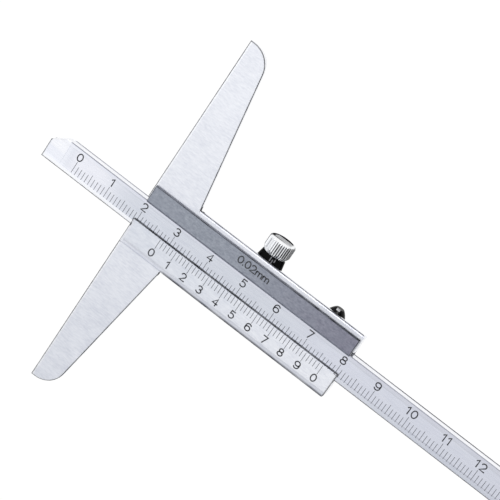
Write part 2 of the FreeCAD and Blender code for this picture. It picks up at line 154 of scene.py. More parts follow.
def edgeShare(tree, reach):
    # near 1 within reach of an edge between faces, where the rounded normal leans away from the face's own:
    # from 0 at 4 degrees to 1 at 16, by their cosines
    rounded = addNode(tree, "ShaderNodeBevel", {"Radius": reach * toMetres}, samples=6).outputs[0]
    own = addNode(tree, "ShaderNodeNewGeometry").outputs["Normal"]
    alike = addNode(tree, "ShaderNodeVectorMath", {0: rounded, 1: own}, operation="DOT_PRODUCT")
    return stretched(tree, alike.outputs["Value"], 0.96, 0.998, 1.0, 0.0)


def placeOf(tree):
    # the surface point and its facing, split into named numbers
    spot = addNode(tree, "ShaderNodeTexCoord")
    point = addNode(tree, "ShaderNodeSeparateXYZ", {0: spot.outputs["Object"]})
    facing = addNode(tree, "ShaderNodeSeparateXYZ", {0: spot.outputs["Normal"]})
    numbers = {axis: point.outputs[i] for i, axis in enumerate("xyz")}
    numbers.update({"n" + axis: facing.outputs[i] for i, axis in enumerate("xyz")})
    numbers["point"] = spot.outputs["Object"]
    return numbers


def upright(tree, place):
    # 1 on walls, which face less than 17 degrees up or down
    return band(tree, place["nz"], -0.3, 0.3, 0.1, 1)


def nearPoint(tree, place, centre, reach, soft=0.12):
    # 1 inside a box about the centre, fading out over soft
    return overlap(tree, *(band(tree, place[axis], at - far, at + far, soft)
                           for axis, at, far in zip("xyz", centre, reach)))


def workedSurface(name, look, zones=None, relief=None):
    # A worked surface: noise cells drawn out along the grain tint the colour and press a shallow bump, a
    # wider noise clouds the colour and moves the roughness by an eighth, and closed-in spots, found by
    # ambient occlusion, get a little painted shade. The real grain is finer than can show, so its cells are
    # drawn as coarse as needed. Zones are (share, colour, roughness) that lie over the ground finish in turn,
    # most of them painted light or shade; a zone with a fourth mark is painted shade and doesn't mirror like
    # metal. Relief is (share, height in mm) of a broad rise in the surface.
    material, tree = emptyMaterial(name)
    place = placeOf(tree)
    grain = noiseCells(tree, place["point"], look["grain"], 3.0, 0.65)
    cloud = noiseCells(tree, place["point"], look["cloud"], 2.0)
    grainShare = stretched(tree, grain, 0.3, 0.7, 0.0, look["grainDepth"])
    cloudShare = stretched(tree, cloud, 0.3, 0.7, 0.0, 1.0)
    colour = linearColour(look["colour"])
    rough = stretched(tree, cloud, 0.3, 0.7, look["roughness"] * 0.88, look["roughness"] * 1.12)
    metal = look["metallic"]
    # zones of painted light and shade, in turn; a zone with a fourth mark is painted shade, made non-metal so
    # it doesn't mirror
    for share, zoneColour, zoneRoughness, *paintedShade in (zones(tree, place) if zones else []):
        colour = mixColour(tree, share, colour, linearColour(zoneColour))
        rough = mixNumber(tree, share, rough, zoneRoughness)
        if paintedShade:
            metal = mixNumber(tree, share, metal, 0.0)
    shade = mixColour(tree, grainShare, linearColour("#ffffff"), linearColour(look["grainShade"]))
    colour = mixColour(tree, 1.0, colour, shade, "MULTIPLY")
    clouded = overlap(tree, cloudShare, look["cloudDepth"])
    colour = mixColour(tree, clouded, colour, linearColour(look["cloudColour"]))
    # painted shade: closed-in spots found by ambient occlusion are darkened
    closed = addNode(tree, "ShaderNodeAmbientOcclusion", {
        "Distance": look["hollowShadeReach"] * toMetres,
    }, samples=8).outputs["AO"]
    hollowShade = stretched(tree, closed, 0.25, 0.95, look["hollowShade"], 0.0)
    colour = mixColour(tree, hollowShade, colour, linearColour(hollowShadeColour))
    normal = addNode(tree, "ShaderNodeBump", {
        "Height": grain, "Strength": look["bump"], "Distance": look["groove"] * toMetres,
    }).outputs[0]
    for share, height in (relief(tree, place) if relief else []):
        normal = addNode(tree, "ShaderNodeBump", {
            "Height": share, "Strength": 1.0, "Distance": height * toMetres, "Normal": normal,
        }).outputs[0]
    surface = addNode(tree, "ShaderNodeBsdfPrincipled", {
        "Base Color": colour, "Metallic": metal, "Roughness": rough, "Normal": normal,
        "Specular IOR Level": look.get("specular", 0.5),
    })
    addNode(tree, "ShaderNodeOutputMaterial", {"Surface": surface.outputs["BSDF"]})
    return material


def dress(node, material):
    mesh = cadNodes[node].data
    mesh.materials.clear()
    mesh.materials.append(material)


# satin chromed steel, ground with a fine wheel: a soft pale mirror with a faint grain along the gauge.
# Painted light and shade lie over it: the broken edges get dark painted outlines, the lapped, smoother margin
# of the measuring edge gets a painted highlight, the upright walls are painted whiter, the rail has a thin
# dark painted shadow line under its bevel, and painted black shade fills the inner corners and the wall under
# the vernier's lip. Zones are given as colour and roughness, and each of the rounding's painted shades starts
# with the facing along Y below which it holds.
base = {
    "colour": "#e7e9ee", "grainShade": "#dfe1e7", "grainDepth": 0.7, "grain": (1.5, 0.36, 0.36),
    "bump": 0.25, "groove": 0.004, "cloud": (4.0, 2.5, 2.5), "cloudColour": "#f6f7f9", "cloudDepth": 0.3,
    "roughness": 0.34, "metallic": 1.0, "specular": 0.0, "hollowShade": 0.3, "hollowShadeReach": 0.3,
    "armFace": 6.6, "marginWide": 0.55, "edgeReach": 0.33, "edgeDepth": 0.3, "barLow": -9.4,
    "railInner": 9.2, "railStart": 12.9, "railWhite": 8.7, "railDepth": 0.55, "railFade": (58.0, 42.0),
    "endFace": ((62.0, 6.0, 5.2), (0.75, 2.5, 2.5)), "vernierEdge": -1.88, "lipReach": 0.36,
    "roundDepth": 2.2, "cornerX": 12.7, "cornerY": (-9.1, 9.77), "cornerReach": 0.85,
    "gapAt": ((0.05, -3.45, 7.3), (61.65, -3.8, 6.6)), "gapReach": (0.34, 0.36, 0.6),
    # painted light and shade from here on: whiter walls and bar end face, a painted highlight on the
    # measuring margin, dark painted outlines, and painted tones and shade on rail, arm and land
    "wall": ("#fcfcfe", 0.22), "margin": ("#ffffff", 0.2), "barEnd": ("#ffffff", 0.22),
    "armHigh": ("#f1f2f5", 0.34), "paintedDarkEdge": ("#141416", 0.35), "landEdge": ("#141416", 0.4),
    "railEdge": ("#c9cad2", 0.3), "railLeft": ("#e2e3e9", 0.3), "railRight": ("#c6c7d0", 0.3),
    "railLine": ("#5c5d63", 0.5, "paintedShade"), "railLineRight": ("#44454b", 0.5, "paintedShade"),
    "landLeft": ("#e3e6eb", 0.33), "landRight": ("#f6f7fa", 0.33), "landRound": ("#edeff6", 0.25),
    "rounding": ((-0.4, "#dcdee4", 0.3), (-0.52, "#9a9ca5", 0.3), (-0.66, "#55565c", 0.3, "paintedShade")),
    "corner": ("#141416", 0.5, "paintedShade"), "lip": ("#020203", 0.7, "paintedShade"), "gap": ("#020203", 0.6, "paintedShade"),
}


def baseZones(tree, place):
    barEnd, armTip, landFace = frameHigh
    face, inner, start, lipY = (base[name] for name in ("armFace", "railInner", "railStart", "vernierEdge"))
    x, y, z = (place[axis] for axis in "xyz")
    edges = edgeShare(tree, base["edgeReach"])
    flat = above(tree, place["nz"], 0.97, 0.02, 1)
    wall = upright(tree, place)

    # arms: the outer one is painted paler towards its tip, a painted gradient of light; their edges get dark
    # painted outlines and the measuring edge's margin a painted highlight
    arms = overlap(tree, flat, band(tree, z, face - 0.1, face + 0.1, 0.05))
    upward = above(tree, y, armTip, armTip * 2)
    bevel = overlap(tree, band(tree, place["nz"], 0.5, 0.725, 0.01, 1),
                    band(tree, z, face - base["edgeDepth"], face + 0.02, 0.02))
    outline = overlap(tree, edges, band(tree, z, face - base["edgeDepth"], face + 0.05, 0.02))
    bar = overlap(tree, band(tree, y, base["barLow"], inner + 0.5, 0.02), above(tree, x, 0.6, 0.05))
    margin = overlap(tree, below(tree, x, base["marginWide"] - 0.15, 0.3),
                     band(tree, z, face - 0.05, face + 0.05, 0.02))

    # rail: painted light and shade: a lighter top, a greyer bevel and a dark painted shadow line under it,
    # all painted darker towards the bar's end
    rail = overlap(tree, above(tree, x, start, 0.3),
                   band(tree, z, face - base["railDepth"], face + 0.1, 0.05))
    railTop = overlap(tree, rail, above(tree, place["nz"], 0.5, 0.1, 1),
                      band(tree, y, base["railWhite"], inner + 0.1, 0.12))
    railEdge = overlap(tree, rail, band(tree, y, inner + 0.05, inner + 0.3, 0.05),
                       band(tree, place["nz"], 0.5, 0.8, 0.05, 1))
    railLine = overlap(tree, rail, band(tree, y, inner + 0.27, inner + 1, 0.03),
                       below(tree, z, face - 0.22, 0.03))
    farther = above(tree, x, *base["railFade"])

    # vernier land: painted paler towards its end, a painted highlight and deepening painted shade down its
    # rounding, a dark painted outline at its end, and a black painted shadow on the wall under its lip
    landArea = overlap(tree, flat, above(tree, z, face + 0.2, 0.1))
    landRun = above(tree, x, barEnd, barEnd - 8)
    landRound = overlap(tree, above(tree, z, face + 0.1, 0.1), below(tree, place["ny"], -0.15, 0.1, 1))
    landEnd = overlap(tree, edges, above(tree, x, barEnd - 1, 0.2), below(tree, y, 0, 0.2))
    underside = overlap(tree, above(tree, z, landFace - base["roundDepth"], 0.3),
                        above(tree, x, start + 1, 1.5))
    rounding = [(overlap(tree, underside, below(tree, place["ny"], level, 0.1, 1)), *finish)
                for level, *finish in base["rounding"]]
    lip = overlap(tree, above(tree, place["ny"], 0.9, 0.02, 1),
                  band(tree, y, lipY - 0.03, lipY + 0.03, 0.02),
                  band(tree, z, face - 0.4, face + base["lipReach"], 0.05))

    # painted shade: black in the corners between arms and bar, and where the beam leaves the channel
    cornerX, reach = base["cornerX"], base["cornerReach"]
    nearCorner = overlap(tree, wall, band(tree, x, cornerX - reach, cornerX + reach, 0.1))
    darkened = [(overlap(tree, nearCorner, band(tree, y, level - reach, level + reach, 0.1)),
                 *base["corner"]) for level in base["cornerY"]]
    gaps = [(nearPoint(tree, place, spot, base["gapReach"]), *base["gap"]) for spot in base["gapAt"]]
    return [
        (wall, *base["wall"]),
        (railEdge, *base["railEdge"]),
        (railTop, *base["railLeft"]),
        (overlap(tree, railTop, farther), *base["railRight"]),
        (railLine, *base["railLine"]),
        (overlap(tree, railLine, farther), *base["railLineRight"]),
        (nearPoint(tree, place, *base["endFace"]), *base["barEnd"]),
        (overlap(tree, arms, upward), *base["armHigh"]),
        (landArea, *base["landLeft"]),
        (overlap(tree, landArea, landRun), *base["landRight"]),
        (landRound, *base["landRound"]),
        *rounding,
        (margin, *base["margin"]),
        (without(tree, bevel, bar), *base["paintedDarkEdge"]),
        (without(tree, outline, bar), *base["paintedDarkEdge"]),
        (landEnd, *base["landEdge"]),
        *darkened,
        (lip, *base["lip"]),
        *gaps,
    ]


# satin chromed steel, lapped along the beam: the sunk scale is soft and bluish, painted paler towards both
# ends and darker along its shoulders, the border above it is rougher and painted darker, and the floor of the
# scale rises in a small shoulder to each border. The lower border, the walls and the clipped corner are
# painted white, the outer edges get dark painted outlines, and a dark painted shadow line lies along the foot
# of the upright walls. Each run tells where along X it is full and over what length it fades.
beam = {
    "colour": "#f3f4f8", "grainShade": "#e4e6ec", "grainDepth": 0.5, "grain": (4.0, 0.3, 0.3), "bump": 0.15,
    "groove": 0.004, "cloud": (9.0, 3.0, 3.0), "cloudColour": "#e4e7ed", "cloudDepth": 0.2,
    "roughness": 0.16, "metallic": 1.0, "specular": 0.0, "hollowShade": 0.0, "hollowShadeReach": 0.2,
    "panel": (-22.82, 183.18, -2.57, 2.9), "sink": 0.1, "shoulder": 0.6, "shoulderDepth": 0.007,
    "farRun": (62.0, 25.0), "endRun": (-14.0, 13.0), "shadeRun": (60.0, 60.0), "lowShadeRun": (70.0, 20.0),
    "borderRun": (10.0, 40.0), "fartherRun": (90.0, 80.0), "clipSpan": (0.5, 4.6), "inside": (-3.1, 3.2),
    "edgeReach": 0.4, "footLine": 0.75, "wall": ("#fdfdff", 0.2), "clip": ("#fcfcfd", 0.25),
    "scale": ("#dadde3", 0.24), "scaleFar": ("#e3e5ed", 0.24), "scaleEnd": ("#f3f3f7", 0.24),
    "shade": ("#dddfe6", 0.24), "lowShade": ("#c9cbd3", 0.24), "highBorder": ("#dddee6", 0.24),
    "lowBorder": ("#ffffff", 0.16), "lowBorderFar": ("#dcdfe7", 0.2),
    "foot": ("#94959c", 0.4, "paintedShade"), "footFar": ("#34353a", 0.4, "paintedShade"),
    "bevel": ("#8d8e97", 0.35), "lowBevel": ("#08080a", 0.4), "outline": ("#08080a", 0.35),
    "highLine": ("#8d8e97", 0.35, "paintedShade"), "lowLine": ("#08080a", 0.4, "paintedShade"),
}


def beamZones(tree, place):
    x0, x1, y0, y1 = beam["panel"]
    x, y, z = (place[axis] for axis in "xyz")
    (endX, lowY, backZ), (_, highY, faceZ) = beamLow, beamHigh
    edges = edgeShare(tree, beam["edgeReach"])
    flat = above(tree, place["nz"], 0.95, 0.02, 1)
    wall = upright(tree, place)
    # dark painted outlines on the bevels, the outer edges and the top and bottom lines
    bevel = band(tree, place["nz"], 0.69, 0.725, 0.01, 1)
    # the scale; it is painted paler towards both ends and darker along its shoulders
    panel = overlap(tree, flat, band(tree, x, x0 + 3, x1 - 3, 3), band(tree, y, y0, y1, 0.03),
                    band(tree, z, faceZ - beam["sink"] - 0.03, faceZ - beam["sink"] + 0.03, 0.02))
    measuring = below(tree, x, *beam["endRun"])
    farther = above(tree, x, *beam["fartherRun"])
    shade = overlap(tree, panel, band(tree, y, y1 - 0.35, y1 - 0.15, 0.2), above(tree, x, *beam["shadeRun"]))
    lowShade = overlap(tree, panel, band(tree, y, y0, y0 + 0.25, 0.3), above(tree, x, *beam["lowShadeRun"]))
    # the border above the scale: rougher, and painted darker as shade
    rougherShadedBorder = overlap(tree, flat, above(tree, y, y1 + 0.03, 0.03), above(tree, x, *beam["borderRun"]))
    # painted light: the lower border is painted white, greyer towards the far end
    lowBorder = overlap(tree, flat, below(tree, y, y0 - 0.03, 0.03))
    # a dark painted shadow line along the foot of the upright walls, darker towards the far end
    foot = overlap(tree, wall, below(tree, z, backZ + beam["footLine"], 0.1))
    inside = overlap(tree, band(tree, y, *beam["inside"], 0.05), above(tree, x, endX + 0.5, 0.05))
    outer = without(tree, above(tree, z, faceZ - 0.3, 0.02), inside)
    outline = overlap(tree, edges, outer, below(tree, y, 2.5, 0.3))
    highLine = overlap(tree, above(tree, y, highY - 0.15, 0.02), above(tree, z, faceZ - 0.25, 0.03))
    lowLine = overlap(tree, below(tree, y, lowY + 0.14, 0.02), above(tree, z, faceZ - 0.3, 0.03))
    # the clipped corner at the measuring end is painted white, as are the walls
    clipStart, clipStop = beam["clipSpan"]
    clipped = overlap(tree, band(tree, x, endX + clipStart, endX + clipStop, 0.3), above(tree, y, 0.2, 0.3))
    return [
        (wall, *beam["wall"]),
        (foot, *beam["foot"]),
        (overlap(tree, foot, farther), *beam["footFar"]),
        (lowBorder, *beam["lowBorder"]),
        (overlap(tree, lowBorder, farther), *beam["lowBorderFar"]),
        (panel, *beam["scale"]),
        (overlap(tree, panel, above(tree, x, *beam["farRun"])), *beam["scaleFar"]),
        (overlap(tree, panel, measuring), *beam["scaleEnd"]),
        (rougherShadedBorder, *beam["highBorder"]),
        (shade, *beam["shade"]),
        (lowShade, *beam["lowShade"]),
        (bevel, *beam["bevel"]),
        (lowLine, *beam["lowLine"]),
        (overlap(tree, bevel, below(tree, y, 3, 0.2)), *beam["lowBevel"]),
        (highLine, *beam["highLine"]),
        (outline, *beam["outline"]),
        (clipped, *beam["clip"]),
    ]


def beamRelief(tree, place):
    # the floor of the scale stands a little lower between its two shoulders
    _, _, y0, y1 = beam["panel"]
    level = band(tree, place["y"], y0 + beam["shoulder"], y1 - beam["shoulder"], beam["shoulder"])
    return [(level, -beam["shoulderDepth"])]


# dark satin nickel over a blasted ground: an even grey that hardly mirrors, painted a little warmer and
# darker towards its far end, with paler painted walls, painted shade on its downward bevels and upper wall,
# and dark painted outlines
plate = {
    "colour": "#a8adb5", "grainShade": "#c3c5cb", "grainDepth": 0.9, "grain": (0.8, 0.4, 0.4), "bump": 0.3,
    "groove": 0.006, "cloud": (3.0, 1.6, 1.6), "cloudColour": "#989ca7", "cloudDepth": 0.35,
    "roughness": 0.42, "metallic": 1.0, "specular": 0.0, "hollowShade": 0.3, "hollowShadeReach": 0.4,
    "fadeFrom": 22.0, "edgeReach": 0.2, "far": ("#93929f", 0.42), "wall": ("#c9cbd2", 0.3),
    "lowBevel": ("#8b8f9a", 0.4), "edge": ("#1f2024", 0.4),
    "highWall": ("#85868d", 0.5, "paintedShade"), "highWallFar": ("#1c1c1f", 0.5, "paintedShade"),
}


def plateZones(tree, place):
    farX, highY, _ = plateHigh
    farther = above(tree, place["x"], farX, farX - plate["fadeFrom"])
    outline = overlap(tree, edgeShare(tree, plate["edgeReach"]), above(tree, place["y"], 5.0, 0.5))
    highWall = above(tree, place["y"], highY - 0.06, 0.04)
    # painted light and shade: far end darker, walls paler, downward bevels and the upper wall darker, dark
    # outlines on the edges
    return [
        (farther, *plate["far"]),
        (below(tree, place["nz"], 0.3, 0.1, 1), *plate["wall"]),
        (below(tree, place["ny"], -0.5, 0.1, 1), *plate["lowBevel"]),
        (highWall, *plate["highWall"]),
        (overlap(tree, highWall, farther), *plate["highWallFar"]),
        (band(tree, place["nz"], 0.69, 0.725, 0.01, 1), *plate["edge"]),
        (outline, *plate["edge"]),
    ]


dress("base_frame", workedSurface("wheel ground satin chrome", base, baseZones))
dress("beam", workedSurface("lapped satin chrome", beam, beamZones, beamRelief))
dress("guide_plate", workedSurface("dark satin nickel over blasted steel", plate, plateZones))

# small parts: what each is made of and how it was finished
smallFinishes = {
    "guide_plate_screws": ("turned steel", {  # fine turning lines, soft grey
        "colour": "#c4c4c8", "grainShade": "#c2c2c6", "grainDepth": 0.8, "grain": (0.6, 0.2, 0.2),
        "cloud": (3.0, 3.0, 3.0), "cloudColour": "#a9a9ae", "cloudDepth": 0.3, "roughness": 0.34,
        "metallic": 1.0, "bump": 0.3, "groove": 0.004, "hollowShade": 0.8, "hollowShadeReach": 0.6,
    }),
    "leaf_spring": ("rolled phosphor bronze", {  # warm, faint rolling marks along the strip
        "colour": "#cf9a6a", "grainShade": "#c9a184", "grainDepth": 0.7, "grain": (8.0, 0.3, 0.3),
        "cloud": (6.0, 3.0, 3.0), "cloudColour": "#b98356", "cloudDepth": 0.3, "roughness": 0.3,
        "metallic": 1.0, "bump": 0.15, "groove": 0.004, "hollowShade": 0.5, "hollowShadeReach": 0.5,
    }),
    "lock_screw_seat": ("oiled smooth black oxide", {  # deep gloss that mirrors the knurl above it
        "colour": "#040405", "specular": 0.06, "grainShade": "#8a8a90", "grainDepth": 0.7,
        "grain": (0.5, 0.5, 0.5), "cloud": (2.0, 2.0, 2.0), "cloudColour": "#0d0d0f", "cloudDepth": 0.5,
        "roughness": 0.13, "metallic": 0.0, "bump": 0.08, "groove": 0.003, "hollowShade": 0.0, "hollowShadeReach": 0.5,
    }),
    "pressure_pad": ("turned brass", {  # yellow, fine rings
        "colour": "#e0b467", "grainShade": "#cdb48b", "grainDepth": 0.7, "grain": (0.5, 0.2, 0.5),
        "cloud": (2.0, 2.0, 2.0), "cloudColour": "#c59a52", "cloudDepth": 0.3, "roughness": 0.3,
        "metallic": 1.0, "bump": 0.2, "groove": 0.003, "hollowShade": 0.4, "hollowShadeReach": 0.4,
    }),
    "tail_screw": ("black oxide on turned steel", {  # glossy black with fine turning rings
        "colour": "#050506", "specular": 0.1, "grainShade": "#77777c", "grainDepth": 0.8,
        "grain": (0.9, 0.16, 0.9), "cloud": (1.0, 1.0, 1.0), "cloudColour": "#101012", "cloudDepth": 0.5,
        "roughness": 0.14, "metallic": 0.0, "bump": 0.15, "groove": 0.004, "hollowShade": 0.0, "hollowShadeReach": 0.4,
    }),
    "beam_stop_screw": ("polished turned steel", {  # bright with a soft slot
        "colour": "#d6d7dc", "grainShade": "#c9c9ce", "grainDepth": 0.7, "grain": (0.6, 0.2, 0.2),
        "cloud": (3.0, 3.0, 3.0), "cloudColour": "#bdbec4", "cloudDepth": 0.3, "roughness": 0.24,
        "metallic": 1.0, "bump": 0.2, "groove": 0.004, "hollowShade": 0.7, "hollowShadeReach": 0.5,
    }),
}

# painted highlights on the black oxide: a painted glint on the tail screw's shoulder, and short streaks on
# the seat below the knurl painted as reflections of it, as colour, roughness and a list of (centre, reach)
# along x, y and z
paintedGlints = {
    "tail_screw": ("#fbfbfc", 0.3, [((52.72, 10.42, 5.2), (0.42, 0.2, 0.7))]),
    "lock_screw_seat": ("#a9a9ad", 0.3, [
        ((32.7, 10.4, 5.4), (0.06, 0.5, 1.5)), ((33.3, 9.9, 5.4), (0.07, 0.6, 1.5)),
        ((33.85, 10.5, 5.4), (0.05, 0.35, 1.5)),
    ]),
}


def rubbedZones(colour, roughness, spots):
    def zones(tree, place):
        return [(nearPoint(tree, place, *spot), colour, roughness) for spot in spots]
    return zones


# each small part's finish, with its painted glints where it has them
for node, (name, look) in smallFinishes.items():
    worn = rubbedZones(*paintedGlints[node]) if node in paintedGlints else None
    dress(node, workedSurface(name, look, worn))
print("finishes made:", 3 + len(smallFinishes))


def meshPiece(name, parts, material, body):
    # joins (vertices, face arrays) into one mesh, in metres
    faces = []
    start = 0
    for vertices, faceSets in parts:
        for faceSet in faceSets:
            faces += (faceSet + start).tolist()
        start += len(vertices)
    mesh = bpy.data.meshes.new(name)
    mesh.from_pydata((np.vstack([vertices for vertices, _ in parts]) * toMetres).tolist(), [], faces)
    mesh.materials.append(material)
    piece = bpy.data.objects.new(name, mesh)
    bpy.context.scene.collection.objects.link(piece)
    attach(piece, body)
    return piece


def turned(radii, levels):
    # A profile carried round the lock screw's axis: radii has one row of radii for each level along Y, at
    # equal angles from +Z towards +X. Rings join into quads, and a fan closes each end on the axis.
    rows, count = radii.shape
    angle = np.arange(count) * 2 * np.pi / count
    rings = np.stack([lockX + radii * np.sin(angle), np.repeat(levels[:, None], count, 1),
                      lockZ + radii * np.cos(angle)], -1)
    poles = np.array([[lockX, levels[0], lockZ], [lockX, levels[-1], lockZ]])
    vertices = np.vstack([rings.reshape(-1, 3), poles])
    i, j = np.meshgrid(np.arange(rows - 1), np.arange(count), indexing="ij")
    k = (j + 1) % count
    quads = np.stack([i * count + j, i * count + k, (i + 1) * count + k, (i + 1) * count + j], -1)
    quads = quads.reshape(-1, 4)
    j = np.arange(count)
    k = (j + 1) % count
    first = np.stack([np.full(count, rows * count), k, j], -1)
    last = np.stack([np.full(count, rows * count + 1), (rows - 1) * count + j, (rows - 1) * count + k], -1)
    return vertices, [quads, first, last]


# knurled head and threaded shank of the lock screw
knob = {
    "under": 11.45, "radius": 3.5, "footTaper": 0.5, "footHeight": 0.9, "footBreak": 0.06,
    "shoulderAcross": 0.55, "shoulderAlong": 0.5, "crown": 0.05,
    "knurls": 36, "knurlDepth": 0.26, "knurlSlope": 1.35, "samples": 12,
    "shankRadius": 1.25, "shankTip": 5.1, "spigotRadius": 0.55, "pitch": 0.45, "threadDepth": 0.22,
}

# painted darkening on the chrome, standing in for shade and dark reflections: levels are heights over the
# gauge's back, shares run from 0 to 1, and the flanks at the right (+X) and left have (level where the
# darkening starts, fade below it, share)
knobPaintedDarkening = {
    "chrome": "#f8f9fa", "paintedDarkening": "#131315", "paintedShade": "#020203", "dark": 2.4, "grey": 4.3, "greyShare": 0.6,
    "line": 4.5, "lineWide": 0.42, "lineShare": 0.9, "lineDrop": 0.27, "arc": 2.35, "clearRight": 2.5,
    "right": (5.8, 1.0, 0.68), "left": (5.35, 0.6, 0.85), "streak": 54.0, "streakWide": 5.0,
    "cell": 0.5, "chromeRough": 0.08, "paintedShadeRough": 0.4,
}


def knobProfile():
    # (radius, level) from the underside round the foot's cone and the barrel, over the shoulder's quarter of
    # an ellipse to the end face with its low crown
    low, top, radius = knob["under"], screwHigh[1], knob["radius"]
    foot = radius - knob["footTaper"]
    rim = radius - knob["shoulderAcross"]
    shoulder = top - knob["shoulderAlong"]
    turn = np.linspace(0, 1, 5)
    broken = knob["footBreak"]
    cone = np.stack([foot + (radius - foot) * turn, low + broken + (knob["footHeight"] - broken) * turn], 1)
    waist = low + knob["footHeight"]
    barrel = np.stack([np.full(5, radius), waist + (shoulder - waist) * turn], 1)
    arc = np.radians(np.linspace(0, 90, 9))
    slope = np.stack([rim + (radius - rim) * np.cos(arc), shoulder + (top - shoulder) * np.sin(arc)], 1)
    across = rim * np.linspace(0.96, 0.1, 10)
    face = np.stack([across, top + knob["crown"] * (1 - (across / rim) ** 2)], 1)
    start = np.array([[0.5, low], [foot - broken, low]])
    return np.vstack([start, cone, barrel[1:], slope[1:], face])


def ramp(distance, width):
    # 0 up to no distance, then an even rise to 1 at the width
    return np.clip(distance / width, 0, 1)


def knurledHead():
    # The profile all round, less the V grooves, whose walls rise from their roots at an even slope on both
    # sides. On the barrel and the foot the grooves follow the surface; on the shoulder they run out where it
    # drops below them. Point attributes carry painted shade: how dark a groove's root is painted, by its
    # depth and more towards +X, and how much painted darkening lies on the chrome: full on the lowest part of
    # the end face and round its rim, half above it up to a darker line, strong down both flanks, with a
    # bell-shaped dark streak on the +X side, all standing in for shade and dark reflections.
    profile = knobProfile()
    count = knob["knurls"] * knob["samples"]
    part = (np.arange(count) / knob["samples"]) % 1
    away = np.abs(part - 0.5) * 2 * np.pi * knob["radius"] / knob["knurls"]
    cut = np.clip(knob["knurlDepth"] - away * knob["knurlSlope"], 0, None)[None, :]
    onFoot = profile[:, 1:] < knob["under"] + knob["footHeight"]
    surface = np.where(onFoot, profile[:, :1], knob["radius"])
    grooved = np.minimum(profile[:, :1], surface - cut)
    radii = np.where(profile[:, :1] > 0.8 * knob["radius"], grooved, profile[:, :1])
    depth = ramp(cut, knob["knurlDepth"]) * (radii < profile[:, :1] - 1e-6)
    turn = np.arange(count)[None, :] * 2 * np.pi / count
    side = np.sin(turn)
    level = lockZ + profile[:, :1] * np.cos(turn)
    paintedShade = depth * np.clip(0.5 + 0.9 * side, 0, 1)
    across = profile[:, :1] * side
    grey = knobPaintedDarkening["greyShare"] * ramp(knobPaintedDarkening["grey"] - level, 0.3)
    low = ramp(knobPaintedDarkening["dark"] - level, 0.4)
    line = np.exp(-((level - knobPaintedDarkening["line"]) / knobPaintedDarkening["lineWide"]) ** 2)
    line = line * np.clip(knobPaintedDarkening["lineShare"] - knobPaintedDarkening["lineDrop"] * across, 0, 1)
    rim = ramp(profile[:, :1] - knobPaintedDarkening["arc"], 0.2) * ramp(knobPaintedDarkening["line"] - level, 0.2)
    onEnd = np.maximum.reduce([grey, low, line, rim]) * ramp(knobPaintedDarkening["clearRight"] - across, 0.4)
    fromLevel, fade, most = (np.where(side > 0, right, left)
                             for right, left in zip(knobPaintedDarkening["right"], knobPaintedDarkening["left"]))
    flank = ramp(fromLevel - level, fade) * most
    streak = np.exp(-((np.degrees(turn) - knobPaintedDarkening["streak"]) / knobPaintedDarkening["streakWide"]) ** 2)
    paintedDarkening = np.where(profile[:, 1:] > screwHigh[1] - 0.02, onEnd, np.maximum(flank, streak))
    paintedShade = np.append(paintedShade.ravel(), [0.0, 0.0])  # the two poles come last
    paintedDarkening = np.append(paintedDarkening.ravel(), [0.0, 0.5])
    return turned(radii, profile[:, 1]), paintedShade, paintedDarkening


def threadedShank():
    # a round bar whose radius dips by the thread's depth where the helix level minus angle/turn, in pitches,
    # is half way between whole numbers; the dip fades out at the tip and under the head
    tip, top = knob["shankTip"], knob["under"] + 0.3
    around, ringsPerPitch = 96, 9
    levels = np.linspace(tip, top, int((top - tip) / knob["pitch"] * ringsPerPitch))
    angle = np.arange(around) / around
    part = (levels[:, None] / knob["pitch"] - angle[None, :]) % 1
    dip = np.clip(1.25 - np.abs(part - 0.5) / 0.36, 0, 1)
    fade = ramp(levels - tip, 0.3) * ramp(knob["under"] - 0.1 - levels, 0.3)
    radii = knob["shankRadius"] - knob["threadDepth"] * dip * fade[:, None]
    spigot = np.array([[knob["spigotRadius"] - 0.1, screwLow[1]], [knob["spigotRadius"], screwLow[1] + 0.1],
                       [knob["spigotRadius"], tip]])
    radii = np.vstack([np.repeat(spigot[:, :1], around, 1), radii])
    return turned(radii, np.concatenate([spigot[:, 1], levels]))


def knurlMaterial():
    # bright chrome over a cut knurl: a sharp mirror on the crests, painted shade in the groove roots, and a
    # painted dark film low on the end face and the flanks that stands in for shade and dark reflections
    material, tree = emptyMaterial("bright chrome over a cut knurl")
    place = placeOf(tree)
    groove = addNode(tree, "ShaderNodeAttribute", attribute_name="groove").outputs["Fac"]
    uneven = noiseCells(tree, place["point"], [knobPaintedDarkening["cell"]] * 3, 3.0)
    held = stretched(tree, groove, 0.05, 0.35, 0.0, 1.0)
    patchy = stretched(tree, uneven, 0.3, 0.6, 0.75, 1.0)
    paintedDarkening = addNode(tree, "ShaderNodeAttribute", attribute_name="paintedDarkening").outputs["Fac"]
    colour = mixColour(tree, paintedDarkening, linearColour(knobPaintedDarkening["chrome"]), linearColour(knobPaintedDarkening["paintedDarkening"]))
    share = overlap(tree, held, patchy)
    bare = without(tree, without(tree, 1.0, paintedDarkening), share)
    colour = mixColour(tree, share, colour, linearColour(knobPaintedDarkening["paintedShade"]))
    rough = mixNumber(tree, share, knobPaintedDarkening["chromeRough"], knobPaintedDarkening["paintedShadeRough"])
    surface = addNode(tree, "ShaderNodeBsdfPrincipled", {
        "Base Color": colour, "Metallic": bare, "Roughness": rough, "Specular IOR Level": 0.0,
    })
    addNode(tree, "ShaderNodeOutputMaterial", {"Surface": surface.outputs["BSDF"]})
    return material


